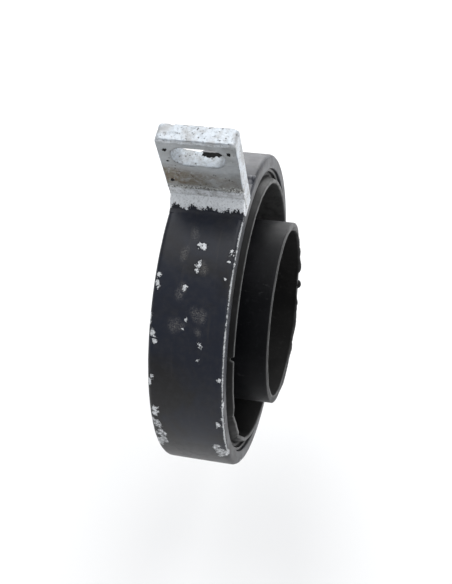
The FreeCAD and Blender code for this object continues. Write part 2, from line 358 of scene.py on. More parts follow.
def bare_zinc():
    """Dull plated metal of the lug: clouded, pitted, stained brown above the weld, and rubbed pale, with
    painted highlight on its tip, side faces, slot wall and the strip above the weld.
    """
    f = Finish("bare_zinc", (0.30, 0.31, 0.31), 0.5, 0.25)
    cloud = f.step(f.noise(70.0, 5.0, 0.65, 0.9), 0.36, 0.66)
    fine = f.step(f.noise(620.0, 5.0, 0.75, 0.3), 0.34, 0.68)
    base = f.mix(cloud, (0.275, 0.287, 0.290), (0.40, 0.425, 0.445))
    base = f.mix(f.math("MULTIPLY", fine, 0.40), base, (0.54, 0.55, 0.55))
    smear = f.noise(1.0, 4.0, 0.6, 0.6, f.stretched((110.0, 560.0, 560.0)))
    base = f.mix(f.math("MULTIPLY", f.step(smear, 0.52, 0.74), 0.40), base, (0.26, 0.265, 0.275))

    stain_cloud = f.step(f.noise(330.0, 5.0, 0.75, 0.4), 0.30, 0.56)
    stain = f.math("MULTIPLY", f.attribute("stain"), stain_cloud)
    rust = f.step(f.noise(760.0, 4.0, 0.7), 0.42, 0.62)
    base = f.mix(f.math("MULTIPLY", stain, 0.90), base,
                 f.mix(rust, (0.190, 0.172, 0.128), (0.145, 0.104, 0.066)))

    lift = f.math("MULTIPLY", f.math("SUBTRACT", fine, 0.5), 0.7)
    # Paler grey where the lug is rubbed along the line under its tip, and painted highlight on the tip,
    # the slot's wall, the side faces and the strip above the weld.
    worn = f.step(f.math("ADD", f.attribute("wear_and_highlight"), lift), 0.20, 0.90)
    grey_patch = f.step(f.noise(260.0, 4.0, 0.65), 0.40, 0.66)
    base = f.mix(worn, base, f.mix(grey_patch, (0.60, 0.65, 0.70), (0.42, 0.43, 0.44)))
    # Near-white on the side faces, the line under the tip and the strip above the weld: painted highlight,
    # and along the line under the tip also rubbed bright metal.
    shine = f.math("MULTIPLY", f.step(f.attribute("wear_and_highlight"), 1.0, 1.6), 0.85)
    base = f.mix(shine, base, f.mix(grey_patch, (0.92, 0.94, 0.97), (0.58, 0.59, 0.60)))
    grit = f.step(f.noise(1500.0, 4.0, 0.7), 0.40, 0.58)
    crumbs = f.mix(grit, (0.70, 0.71, 0.69), (0.11, 0.105, 0.09))
    base = f.mix(f.math("MULTIPLY", f.attribute("crumb"), 0.85), base, crumbs)

    sparse = f.step(f.noise(230.0, 2.0, 0.5), 0.44, 0.56)
    flecks = f.math("MULTIPLY", f.step(f.noise(1300.0, 5.0, 0.8), 0.575, 0.655), f.attribute("wear_and_highlight"))
    pits = f.math("MAXIMUM", f.math("MULTIPLY", f.step(f.cells(760.0), 0.28, 0.12), sparse), flecks)
    base = f.mix(f.math("MULTIPLY", pits, 0.80), base, (0.065, 0.06, 0.055))
    ragged = f.math("MULTIPLY", f.math("SUBTRACT", f.noise(1500.0, 4.0), 0.5), 1.6)
    # Near-black: flecks of paint on the front face, and the dark patch on the slot's lower wall.
    near_black = f.step(f.math("ADD", f.attribute("near_black"), ragged), 0.0, 0.12)
    f.set("Base Color", f.mix(near_black, base, (0.006, 0.006, 0.0065)))
    f.set("Metallic", f.blend(near_black, 0.25, 0.0))
    f.set("Specular IOR Level", f.blend(near_black, 0.5, 0.08))
    rough = f.math("ADD", f.math("MULTIPLY", cloud, 0.12), f.math("MULTIPLY", fine, 0.14))
    f.set("Roughness", f.math("ADD", rough, 0.38))
    dents = f.bump(f.noise(300.0, 4.0, 0.65), 0.00020, 0.5)
    pit_bump = f.bump(f.math("SUBTRACT", 1.0, pits), 0.00012, 0.8, dents)
    f.set("Normal", f.bump(f.noise(1400.0, 3.0, 0.7), 0.00005, 0.7, pit_bump))
    return f.material


# Pale colour of rubbed rubber edges, also used as painted highlight on the rim's crest and painted bounce
# light on its inner wall.
PALE_RUB_AND_PAINTED_LIGHT = (0.12, 0.12, 0.12)
DUST_GAIN = 2.4


def moulded_rubber(name, base, dusty, roughness, grain, shine):
    """Black rubber with a fine moulded grain, faint bloom and dust, pale where its edges are rubbed, and
    on the rim pale as painted highlight along the crest and as painted bounce light on the inner wall.
    """
    f = Finish(name, base, roughness, Specular_IOR_Level=shine)
    bloom = f.step(f.noise(70.0, 5.0, 0.6, 0.5), 0.40, 0.72)
    dust = f.step(f.noise(520.0, 4.0, 0.7), 0.52, 0.78)
    colour = f.mix(f.math("MULTIPLY", bloom, 0.7), base, dusty)
    colour = f.mix(f.math("MULTIPLY", dust, 0.40), colour, tuple(DUST_GAIN * c for c in dusty))
    slanting = f.stretched((300.0, 900.0, 420.0), (0.5, 0.3, 0.2))
    scuffs = f.step(f.noise(1.0, 4.0, 0.7, 0.4, slanting), 0.62, 0.78)
    colour = f.mix(f.math("MULTIPLY", scuffs, 0.30), colour, (0.075, 0.075, 0.078))
    # Pale where the piece is marked: rubbed edges, and on the rim painted highlight along the crest and
    # painted bounce light on the inner wall.
    patchy = f.step(f.noise(340.0, 4.0, 0.65), 0.30, 0.60)
    pale_mark = f.math("MULTIPLY", f.attribute("pale_mark"), f.blend(patchy, 0.45, 1.0))
    f.set("Base Color", f.mix(pale_mark, colour, PALE_RUB_AND_PAINTED_LIGHT))
    rough = f.math("ADD", f.math("MULTIPLY", bloom, 0.12), f.math("MULTIPLY", dust, 0.12))
    f.set("Roughness", f.math("ADD", rough, roughness - 0.08))
    fine = f.bump(f.noise(grain, 4.0, 0.6), 0.00005, 0.6)
    f.set("Normal", f.bump(f.noise(170.0, 3.0, 0.5), 0.00018, 0.35, fine))
    return f.material


def coated_steel():
    """Matt black phosphated steel of the pressed shell, rubbed and lightly rusted."""
    f = Finish("coated_steel", (0.02, 0.02, 0.021), 0.5, 0.3)
    rust = f.step(f.noise(160.0, 5.0, 0.7, 0.4), 0.56, 0.78)
    pale_mark = f.step(f.noise(620.0, 4.0, 0.7), 0.55, 0.80)
    colour = f.mix(f.math("MULTIPLY", rust, 0.45), (0.018, 0.018, 0.019), (0.085, 0.045, 0.025))
    f.set("Base Color", f.mix(f.math("MULTIPLY", pale_mark, 0.4), colour, (0.16, 0.16, 0.165)))
    f.set("Roughness", f.blend(rust, 0.42, 0.75))
    f.set("Normal", f.bump(f.noise(900.0, 4.0, 0.6), 0.00005, 0.6))
    return f.material


def drawn_steel():
    """Plain drawn steel of the hidden tube."""
    f = Finish("tube_steel", (0.40, 0.40, 0.41), 0.35, 1.0)
    lines = f.noise(1.0, 3.0, 0.6, 0.0, f.stretched((30.0, 900.0, 900.0)))
    f.set("Base Color", f.mix(f.step(lines, 0.35, 0.7), (0.30, 0.30, 0.31), (0.48, 0.48, 0.49)))
    f.set("Roughness", f.step(lines, 0.2, 0.8, 0.28, 0.45))
    return f.material


# ---- wear on the band -----------------------------------------------------------------------
# Where the paint is worn: the angles a zone runs between, the x in mm it keeps to and how far it
# strays from that, how many groups of marks it has, and the largest half-length of one in mm.
CHIP_ZONES = [
    (-100, -20, -11.2, 0.8, 15, 1.5), (-90, -15, 11.4, 0.6, 9, 0.9), (-60, -15, 0.0, 6.0, 7, 1.2),
    (42, 244, -11.5, 0.5, 8, 0.9), (42, 244, 11.5, 0.5, 8, 0.9), (42, 244, 0.0, 5.0, 6, 0.8),
]
SCRAPE_ZONES = [(-98, -82, -10.5, 1.0, 4, 2.6), (-102, -90, 10.5, 1.5, 4, 2.4)]
SMUDGE_ZONES = [(-55, -8, 0.0, 5.0, 9, 1.6)]
SMUDGE_REACH = 1.1
SEED = 4


def scattered_marks(zones):
    """Loose groups of marks in each zone: angle, x, half-length, half-width and turn of each."""
    dice = random.Random(SEED)
    marks = []
    for start, end, middle, stray, groups, largest in zones:
        for _ in range(groups):
            angle = dice.uniform(start, end)
            x = middle + dice.uniform(-stray, stray)
            for _ in range(dice.randint(1, 3)):
                half = largest * dice.uniform(0.3, 1.0)
                marks.append((angle + dice.uniform(-1.6, 1.6), x + dice.uniform(-0.9, 0.9), half,
                              half * dice.uniform(0.4, 0.9), dice.uniform(-40, 40)))
    return marks


def marks_field(angles, xs, marks):
    """Millimetres inside the nearest mark, negative outside, for arrays of angles and x in mm."""
    field = np.full(len(xs), -9.0)
    per_degree = BAND_R / MM * math.pi / 180
    for angle, x, half_length, half_width, turn in marks:
        round_band = ((angles - angle + 180) % 360 - 180) * per_degree
        along = xs - x
        c, s = math.cos(math.radians(turn)), math.sin(math.radians(turn))
        u = (c * round_band + s * along) / half_length
        v = (-s * round_band + c * along) / half_width
        inside = (1 - np.hypot(u, v)) * min(half_length, half_width)
        field = np.maximum(field, inside)
    return field


def smudge_field(angles, xs):
    """One in the middle of a scuffed smudge, falling to nought a little way outside it."""
    inside = marks_field(angles, xs, scattered_marks(SMUDGE_ZONES))
    return np.clip(1 + inside / SMUDGE_REACH, 0, 1) ** 1.5


# The ragged edges of the paint before and behind the lug, in degrees, and how far they swing.
PAINT_EDGE_BEFORE = -6.1
PAINT_EDGE_BEHIND = 2.45
PAINT_EDGE_SWING = 0.9


def lug_zone_field(angles, xs):
    """Millimetres inside the unpainted strip round the lug's root."""
    per_degree = BAND_R / MM * math.pi / 180
    across = np.linspace(-12.5, 12.5, 90)
    before = [PAINT_EDGE_BEFORE + PAINT_EDGE_SWING * (noise_1d(x, 0.35, 3.0) + 0.5 * noise_1d(x, 1.3, 5.0))
              for x in across]
    behind = [PAINT_EDGE_BEHIND + 0.5 * noise_1d(x, 0.45, 11.0) for x in across]
    front = np.interp(xs, across, before)
    back = np.interp(xs, across, behind)
    return np.minimum(angles - front, back - angles) * per_degree


# The worn lines: side, half-width in mm, its swing, and the angles that each runs between.
EDGE_WEAR = [
    (1, 0.34, 0.16, -97.0, -9.0), (-1, -0.15, 0.55, -180.0, 180.0), (1, -0.05, 0.30, -180.0, 180.0),
]


def edge_wear_field(angles, xs, radii):
    """Millimetres inside the worn lines along the band's outer corners."""
    field = np.full(len(xs), -9.0)
    for side, base, swing, start, end in EDGE_WEAR:
        off = np.hypot(xs - side * (BAND_HALF / MM - 0.30), radii - (BAND_R / MM - 0.80))
        wobble = np.array([noise_1d(a, 0.11, side * 3.0) for a in angles])
        flecks = np.array([noise_1d(a, 0.9, side * 7.0) for a in angles])
        outside = np.maximum(start - angles, angles - end).clip(0, None)
        field = np.maximum(field, base + swing * wobble + 0.25 * flecks - off - outside * 0.1)
    return field


def add_wear(obj):
    """Stores how bare, worn, scuffed and dull each vertex of a painted piece is."""
    co = coords(obj) / MM
    radii = np.hypot(co[:, 1], co[:, 2])
    angles = np.degrees(np.arctan2(co[:, 1], co[:, 2]))
    xs = co[:, 0]
    outside = radii > BAND_R / MM - 2.2
    chips = marks_field(angles, xs, scattered_marks(CHIP_ZONES))
    scrapes = marks_field(angles, xs, scattered_marks(SCRAPE_ZONES))
    bare = np.maximum.reduce([chips, scrapes + 0.2, lug_zone_field(angles, xs)])
    store(obj, "bare", np.where(outside, bare, -3.0))
    store(obj, "worn", np.where(outside, edge_wear_field(angles, xs, radii), -3.0))
    store(obj, "scuff", np.where(outside, smudge_field(angles, xs), 0.0))
    store(obj, "dull", np.where(scrapes > -0.6, 1.0, 0.0))


# ---- band and seam --------------------------------------------------------------------------
def outer_band(paint):
    """The rolled band, its corners a little battered."""
    inner_round = 0.4 * MM
    corners = [
        (-BAND_HALF, BAND_INNER_R, inner_round), (BAND_HALF, BAND_INNER_R, inner_round),
        (BAND_HALF, BAND_R, BAND_ROUND), (-BAND_HALF, BAND_R, BAND_ROUND),
    ]
    bm = spun_ring(corners, 640, 0.62 * MM)
    for vert in bm.verts:
        radius = math.hypot(vert.co.y, vert.co.z)
        if radius < BAND_R - 3.2 * MM:
            continue
        near_edge = max(0.0, 1 - (BAND_HALF - abs(vert.co.x)) / (2.6 * MM))
        dent = 0.5 + 0.5 * noise.noise(vert.co * 240) + 0.35 * noise.noise(vert.co * 620)
        broad = 0.5 + 0.5 * noise.noise(vert.co * 45)
        sink = (0.05 * broad + 0.16 * near_edge * max(0.0, dent)) * MM
        vert.co.yz = vert.co.yz * (1 - sink / radius)
    obj = finished(bm, "band", paint)
    add_wear(obj)
    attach(obj, "ring")
    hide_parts("outer_band")


def long_bar(section, half_length, cuts):
    """A closed bar along the bore's direction from the points of its section."""
    bm = bmesh.new()
    start = Vector((-half_length, 0, 0))
    verts = [bm.verts.new(point + start) for point in section]
    edges = [bm.edges.new(pair) for pair in zip(verts, verts[1:] + verts[:1])]
    drawn = bmesh.ops.extrude_edge_only(bm, edges=edges)["geom"]
    far = [g for g in drawn if isinstance(g, bmesh.types.BMVert)]
    bmesh.ops.translate(bm, verts=far, vec=Vector((2 * half_length, 0, 0)))
    lengthways = [e for e in bm.edges if abs(e.verts[0].co.x - e.verts[1].co.x) > half_length]
    bmesh.ops.subdivide_edges(bm, edges=lengthways, cuts=cuts, use_grid_fill=True)
    bmesh.ops.holes_fill(bm, edges=[e for e in bm.edges if e.is_boundary], sides=len(section))
    bmesh.ops.recalc_face_normals(bm, faces=bm.faces)
    return bm


def curve_between(start, control, end, count):
    """Points on a smooth bend from start to end, pulled towards the control point."""
    shares = [i / (count - 1) for i in range(count)]
    return [start * (1 - t) ** 2 + control * 2 * t * (1 - t) + end * t ** 2 for t in shares]


WELD_TOE = 5.2 * MM


def lug_weld(name, side, material):
    """The fillet along one face of the lug: crumbly above, running out flat on the band."""
    leg_lug, inset = 4.5 * MM, 0.4 * MM
    face = LUG_ROOT + LUG_ACROSS * side * LUG_THICKNESS / 2
    upper = face + LUG_UP * leg_lug - LUG_ACROSS * side * 0.15 * MM
    toe = at(0, BAND_R - 0.08 * MM, angle_of(face) + side * math.degrees(WELD_TOE / BAND_R))
    near_toe = at(0, BAND_R + 0.35 * MM, angle_of(toe) - side * 1.9)
    swell = (upper + near_toe) * 0.5 + (LUG_ACROSS * side + LUG_UP) * 0.55 * MM
    section = curve_between(upper, swell, near_toe, 22)[:-1]
    section += curve_between(near_toe, near_toe * 0.55 + toe * 0.45 - LUG_UP * 0.12 * MM, toe, 8)
    section.append(face - LUG_UP * 1.2 * MM - LUG_ACROSS * side * 0.4 * MM)
    bm = long_bar(section, BAND_HALF - inset, 119)
    outward = (LUG_ACROSS * side + LUG_UP).normalized()
    for vert in bm.verts:
        above = max(0.0, min(1.0, (math.hypot(vert.co.y, vert.co.z) - BAND_R - 0.1 * MM) / (1.2 * MM)))
        crumble = 0.9 * noise.noise(vert.co * 520) + 0.8 * noise.noise(vert.co * 1400)
        vert.co += outward * above * (0.20 if side < 0 else 0.11) * crumble * MM
    obj = finished(bm, name, material)
    add_wear(obj)
    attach(obj, "ring")
    return obj


SEAM_HALF = 1.75               # mm
SEAM_HEIGHT = 0.85             # mm


def seam_weld(material):
    """The butt weld behind the lug, a low rippled bead across the band."""
    outward, sideways = at(0, 1, SEAM_ANGLE), at(0, 1, SEAM_ANGLE + 90)
    middle = outward * (BAND_R - 0.6 * MM)
    turns = [math.pi * i / 18 for i in range(19)]
    section = [middle + sideways * SEAM_HALF * MM * math.cos(t) + outward * SEAM_HEIGHT * MM * math.sin(t)
               for t in turns]
    section.append(outward * (BAND_R - 1.6 * MM) - sideways * 1.2 * MM)
    section.append(outward * (BAND_R - 1.6 * MM) + sideways * 1.2 * MM)
    bm = long_bar(section, BAND_HALF - 0.5 * MM, 119)
    for vert in bm.verts:
        if vert.co.dot(outward) < BAND_R - 0.7 * MM:
            continue
        arc = vert.co.dot(sideways) / (SEAM_HALF * MM)
        ripple = math.sin(vert.co.x / (0.8 * MM) * math.pi - 1.6 * arc * arc) + noise.noise(vert.co * 420)
        vert.co += outward * 0.09 * MM * ripple
    obj = finished(bm, "seam_bead", material)
    add_wear(obj)
    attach(obj, "ring")
    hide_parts("band_seam_weld")


# ---- lug ------------------------------------------------------------------------------------
def rounded_outline(half_width, low, high, tip_round, count):
    """Points round the lug's face, x and height, evenly spaced, with two rounded tip corners."""
    arc = math.pi / 2 * tip_round
    top, side = 2 * (half_width - tip_round), high - low - tip_round
    total = 2 * half_width + 2 * side + 2 * arc + top
    points = []
    for i in range(count):
        run = total * i / count
        legs = [(2 * half_width, "foot"), (side, "right"), (arc, "arc_right"),
                (top, "top"), (arc, "arc_left")]
        for length, leg in legs:
            if run < length:
                break
            run -= length
        else:
            leg = "left"
        bend = run / tip_round
        by_cos, by_sin = tip_round * (1 - math.cos(bend)), tip_round * (1 - math.sin(bend))
        points.append({
            "foot": (-half_width + run, low),
            "right": (half_width, low + run),
            "arc_right": (half_width - by_cos, high - by_sin),
            "top": (half_width - tip_round - run, high),
            "arc_left": (-half_width + by_sin, high - by_cos),
            "left": (-half_width, high - tip_round - run),
        }[leg])
    return points


def slot_outline(points):
    """For each outline point, the slot's edge in the same direction from the slot's centre."""
    radius = SLOT_WIDTH / 2
    half_run = SLOT_LENGTH / 2 - radius
    edge = []
    for x, height in points:
        dx, dz = x, height - SLOT_HEIGHT
        shrink = SLOT_WIDTH / SLOT_LENGTH
        turn = math.atan2(dz, dx * shrink)
        u, v = math.cos(turn), math.sin(turn)
        reach = radius / max(abs(v), 1e-9)
        if abs(u * reach) > half_run:
            c = half_run * abs(u)
            reach = c + math.sqrt(max(0.0, c * c - half_run ** 2 + radius ** 2))
        edge.append((u * reach, SLOT_HEIGHT + v * reach))
    return edge


def lug_point(x, height, depth):
    """A point of the lug: x, height up from the band, depth across it towards the seat."""
    return LUG_ROOT + Vector((x, 0, 0)) + LUG_UP * height + LUG_ACROSS * depth


def lug_height():
    """How far the lug's tip stands above its root, from the part's top."""
    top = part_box("mounting_lug")[1][2]
    return (top - LUG_ROOT.z - LUG_ACROSS.z * LUG_THICKNESS / 2) / LUG_UP.z


def mounting_lug(material):
    """The slotted lug: sheared tip with a burr, softened edges, small dents."""
    half_width = BAND_HALF - 0.02 * MM
    low, high = -1.5 * MM, lug_height()
    outline = rounded_outline(half_width, low, high, LUG_TIP_ROUND, 400)
    inner = slot_outline(outline)
    bm = bmesh.new()
    loops = []
    for ring in (outline, inner):
        verts = [bm.verts.new(lug_point(x, z, -LUG_THICKNESS / 2)) for x, z in ring]
        loops.append([bm.edges.new((a, b)) for a, b in zip(verts, verts[1:] + verts[:1])])
    bridged = bmesh.ops.bridge_loops(bm, edges=loops[0] + loops[1])
    rims = set(loops[0] + loops[1])
    spokes = [e for e in bridged["edges"] if e not in rims]
    bmesh.ops.subdivide_edges(bm, edges=spokes, cuts=35, use_grid_fill=True)
    pushed = bmesh.ops.extrude_face_region(bm, geom=bm.faces[:], use_keep_orig=True)
    moved = [g for g in pushed["geom"] if isinstance(g, bmesh.types.BMVert)]
    bmesh.ops.translate(bm, verts=moved, vec=LUG_ACROSS * LUG_THICKNESS)
    bmesh.ops.recalc_face_normals(bm, faces=bm.faces)
    walls = [e for e in bm.edges
             if abs((e.verts[0].co - e.verts[1].co).dot(LUG_ACROSS)) > LUG_THICKNESS * 0.9]
    bmesh.ops.subdivide_edges(bm, edges=walls, cuts=9)
    sharp = [e for e in bm.edges if e.is_valid and len(e.link_faces) == 2 and e.calc_face_angle(0) > 1.2]
    bmesh.ops.bevel(bm, geom=sharp, offset=0.4 * MM, segments=3, profile=0.5, affect="EDGES", material=-1)
    for vert in bm.verts:
        roughen_lug(vert, high)
    bmesh.ops.recalc_face_normals(bm, faces=bm.faces)
    obj = finished(bm, "lug", material)
    stain_lug(obj, high)
    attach(obj, "ring")
    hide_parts("mounting_lug")


def lug_place(co):
    """x, height and depth of a point in the lug's own directions."""
    off = co - LUG_ROOT
    return off.x, off.dot(LUG_UP), off.dot(LUG_ACROSS)


# The heights up the lug, in mm, that the crumbly ridge above the weld runs between.
CRUMB_LINE = (8.0, 10.4)
# A ragged near-black patch on the slot's lower wall, where the slot looks dark: from and to in x, and how
# far in from the back face, in mm.
SLOT_DARK_PATCH = (-0.4, 6.2, 2.3)
SLOT_DARK_MIDDLE = 2.4        # mm from its start to where it reaches furthest in


def slot_dark_field(x, height, depth):
    """Millimetres inside the ragged near-black patch on the slot's lower wall."""
    start, end, reach = SLOT_DARK_PATCH
    bow = 0.35 * abs(x - start - SLOT_DARK_MIDDLE) / SLOT_DARK_MIDDLE
    inward = depth - (LUG_THICKNESS / 2 / MM - reach - 0.5 * noise_1d(x, 1.3, 7.0) + bow)
    below = SLOT_HEIGHT / MM - 2.6 - height
    in_slot = height - (SLOT_HEIGHT - SLOT_WIDTH / 2) / MM + 0.45
    return min(inward, x - start, end - x, below, in_slot)


def crumb_share(x, height, depth):
    """How much of the crumbly ridge above the weld there is at a point of the lug, in mm."""
    low = CRUMB_LINE[0] + 0.5 * noise_1d(x, 0.35, 2.0)
    high = CRUMB_LINE[1] - 1.0 + 1.1 * noise_1d(x, 0.6, 4.0) + 0.06 * x
    if depth > -LUG_THICKNESS / 2 / MM + 0.6:
        return 0.0
    return fade(height, low - 0.4, low + 0.1) * (1 - fade(height, high - 0.2, high + 0.5))


DENT_DEPTH = 0.10              # mm
TIP_PIT_DEPTH = 0.55           # mm
BURR_REACH = 0.42              # mm, of the burr and of the crumbs


def roughen_lug(vert, high):
    """Dents a lug vertex a little, and raises the crumbs above the weld and the tip's burr."""
    x, height, depth = lug_place(vert.co)
    core = LUG_ROOT + LUG_UP * min(max(height, 0), high - 3 * MM)
    core += Vector((max(-9 * MM, min(9 * MM, x)), 0, 0))
    inward = core - vert.co
    if inward.length < 0.5 * MM:
        return
    dent = 0.5 + 0.5 * noise.noise(vert.co * 190) + 0.3 * noise.noise(vert.co * 560)
    at_tip = fade(height, high - 1.6 * MM, high - 0.2 * MM)
    pitted = max(0.0, noise.noise(vert.co * 700) - 0.12)
    vert.co += inward.normalized() * (DENT_DEPTH * max(0.0, dent) + TIP_PIT_DEPTH * at_tip * pitted) * MM
    at_front = max(0.0, 1 - abs(depth + LUG_THICKNESS / 2) / (0.8 * MM))
    burr = max(0.0, 0.15 + noise_1d(x, 420, 9.0) + 0.5 * noise_1d(x, 1300, 3.0))
    crumbs = crumb_share(x / MM, height / MM, depth / MM)
    crumbs *= max(0.0, 0.2 + 1.5 * noise.noise(vert.co * 1150))
    vert.co -= LUG_ACROSS * (BURR_REACH * at_tip * at_front * burr + BURR_REACH * crumbs) * MM


SPECK_COUNT = 4
FRONT_DEPTH = -2.2             # mm across the lug; its front face lies beyond this


def lug_specks(high):
    """Small flecks of black paint near the lug's side edges: x, height and two half-sizes in mm."""
    dice = random.Random(SEED)
    return [(dice.choice((-1, 1)) * dice.uniform(9.5, 10.8), dice.uniform(2, high / MM - 3),
             dice.uniform(0.4, 0.8), dice.uniform(0.35, 0.9)) for _ in range(SPECK_COUNT)]


def stain_lug(obj, high):
    """Stores where the lug is stained, crumbly and flecked with black paint, where its slot's lower wall
    has a near-black patch, and where it is rubbed pale and carries painted highlight on its lit faces.
    """
    specks = lug_specks(high)
    stain, wear_and_highlight, near_black, crumb = [], [], [], []
    for vert in obj.data.vertices:
        x, height, depth = (value / MM for value in lug_place(vert.co))
        front = 1.0 if depth < FRONT_DEPTH else 0.2
        rise = fade(height, 9.0, 10.5) * (1 - fade(height, 15.0 - 0.16 * x, 18.5 - 0.16 * x))
        stain.append(front * rise * (0.80 - 0.035 * x))
        # Paler values: the line under the tip is partly rubbed bright metal; the tip and the slot's wall,
        # facing the overhead light, the side faces, facing the side light, and the strip above the weld
        # are painted highlight.
        tip = fade(height, high / MM - 1.1, high / MM - 0.5)
        burr_line = fade(height, high / MM - 1.8, high / MM - 1.0) * front
        edge = fade(abs(x), 11.9, 12.3)
        strip = front * (1 - fade(height, 7.6, 8.6))
        line = front * fade(0.9 - abs(height - high / MM + 1.0 + 0.5 * noise_1d(x, 0.4, 6.0)), 0.0, 0.4)
        past_end = max(abs(x) - (SLOT_LENGTH - SLOT_WIDTH) / 2 / MM, 0.0)
        slot_edge = math.hypot(past_end, height - SLOT_HEIGHT / MM) - SLOT_WIDTH / 2 / MM
        wall = 1 - fade(slot_edge, -0.05, 0.30)
        wear_and_highlight.append(max(tip, 0.8 * burr_line, 1.2 * line, 1.2 * edge, 1.6 * strip, 0.85 * wall))
        inside = [min(a, b) * (1 - math.hypot((x - cx) / a, (height - cz) / b)) for cx, cz, a, b in specks]
        near_black.append(max(inside) if depth < FRONT_DEPTH else slot_dark_field(x, height, depth))
        foot = 0.4 * front * fade(5.4 - height, 0, 0.4)
        crumb.append(max(crumb_share(x, height, depth), 0.25 * line, foot))
    store(obj, "stain", stain)
    store(obj, "wear_and_highlight", wear_and_highlight)
    store(obj, "near_black", near_black)
    store(obj, "crumb", crumb)


# ---- cushion cartridge ----------------------------------------------------------------------
SHELL_WALL = 1.2 * MM
SHELL_FLANGE = 2.6 * MM


def cushion_shell(material):
    """The pressed steel cup, its front edge sunk behind the band's face."""
    back, front = span("cushion_shell")
    fit = BAND_INNER_R - 0.01 * MM
    corners = [
        (back, SHELL_INNER_R - SHELL_FLANGE, 0.35 * MM),
        (back + SHELL_WALL, SHELL_INNER_R - SHELL_FLANGE, 0.35 * MM),
        (back + SHELL_WALL, SHELL_INNER_R, 0), (front, SHELL_INNER_R, 0.3 * MM),
        (front, fit, 0.3 * MM), (back, fit, 0.5 * MM),
    ]
    obj = finished(spun_ring(corners, 320, 1.5 * MM), "cartridge_shell", material)
    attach(obj, "ring")
    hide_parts("cushion_shell")


# Torn moulding flash low on the lip: the angles it runs between and how many tears it has.
FLASH_FROM, FLASH_TO, FLASH_TEARS = -114.0, -85.0, 4
NOTCH_DEPTH = 1.2              # mm
NOTCH_HALF = 0.9 * MM
LIP_WIDTH = 1.3 * MM
LIP_SLOPE = 1.4 * MM
LIP_SHELF = 2.1 * MM
# How much the rim's inner wall is painted paler near the top, fading down its sides: painted bounce light,
# standing in for light thrown up from below.
RIM_PAINTED_BOUNCE_LIGHT = 0.8


def cushion_rim(material):
    """The rubber rim: a narrow lip standing off a lower shelf, torn in places, cut by one notch."""
    back, front = span("cushion_rim")
    shelf = BAND_HALF - LIP_SHELF
    outer = SHELL_INNER_R - 0.02 * MM
    lip_r = RIM_INNER_R + LIP_WIDTH
    corners = [
        (back, RIM_INNER_R, 0), (front, RIM_INNER_R, 0.55 * MM), (front, lip_r, 0.5 * MM),
        (shelf, lip_r + LIP_SLOPE, 0.4 * MM), (shelf, outer, 0.2 * MM), (back, outer, 0),
    ]
    dice = random.Random(SEED)
    tears = [(dice.uniform(FLASH_FROM, FLASH_TO), dice.uniform(2.5, 6.0), dice.uniform(0.5, 0.9))
             for _ in range(FLASH_TEARS)]
    bm = spun_ring(corners, 640, 0.5 * MM)
    pale_mark = bm.verts.layers.float.new("pale_mark")
    for vert in bm.verts:
        reach = fade(vert.co.x, shelf + 0.6 * MM, front)
        angle = angle_of(vert.co)
        radius = math.hypot(vert.co.y, vert.co.z)
        # Painted bounce light: the inner wall is made paler near the top.
        if radius < RIM_INNER_R + 0.1 * MM:
            vert[pale_mark] = RIM_PAINTED_BOUNCE_LIGHT * max(0.0, math.cos(math.radians(angle - 40)))
        if reach <= 0:
            continue
        torn = sum(size * max(0.0, 1 - abs(angle_gap(angle, where)) / width)
                   for where, width, size in tears)
        ragged = abs(noise_1d(angle, 0.8, radius * 400)) + 0.5
        wave = noise_1d(angle, 0.16, 1.0)
        # The lip's front crest is made paler: partly rubbed rubber, partly painted highlight where the
        # crest catches the light.
        vert[pale_mark] = max(vert[pale_mark], fade(vert.co.x, front - 0.35 * MM, front - 0.05 * MM))
        sink = 0.08 + 0.10 * abs(wave) + torn * ragged
        across = abs(angle_gap(angle, NOTCH_ANGLE)) * math.radians(1) * radius
        sink += NOTCH_DEPTH * fade(NOTCH_HALF - across, 0, 0.45 * MM)
        vert.co.x -= reach * sink * MM
        vert.co.yz = vert.co.yz * (1 + wave * reach * 0.22 * MM / radius)
    obj = finished(bm, "rim_rubber", material)
    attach(obj, "ring")
    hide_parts("cushion_rim")


WEB_SECTORS = 24


def web_wall():
    """The web's middle line as (x, radius) points: flat, up over the arch, and flat again."""
    x = (span("web_bond")[0] + span("web_bond")[1]) / 2
    middle_r = (CROWN_OUTER_R + BOND_OUTER_R + 0.3 * MM) / 2
    half = (CROWN_OUTER_R - BOND_OUTER_R - 0.3 * MM) / 2
    thick = span("web_bond")[1] - span("web_bond")[0]
    bend = half - thick / 2
    arch = [(x + bend * math.sin(t), middle_r + bend * math.cos(t))
            for t in (math.pi * i / 16 for i in range(17))]
    return x, middle_r, thick, arch


def web_piece(name, line, thick, angle, width, material):
    """One sector of the web: its line swept round the bore and given its thickness."""
    bm = bmesh.new()
    verts = [bm.verts.new(at(x, r, angle - width / 2)) for x, r in line]
    edges = [bm.edges.new(pair) for pair in zip(verts, verts[1:])]
    bmesh.ops.spin(bm, geom=verts + edges, cent=(0, 0, 0), axis=(1, 0, 0),
                   angle=-math.radians(width), steps=12)
    bmesh.ops.recalc_face_normals(bm, faces=bm.faces)
    obj = finished(bm, name, material)
    solid = obj.modifiers.new("wall", "SOLIDIFY")
    solid.thickness = thick
    solid.offset = 0.0
    bpy.context.view_layer.objects.active = obj
    obj.select_set(True)
    bpy.ops.object.modifier_apply(modifier="wall")
    obj.select_set(False)
    obj.data.set_sharp_from_angle(angle=math.radians(50))
    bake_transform(obj)
    return obj


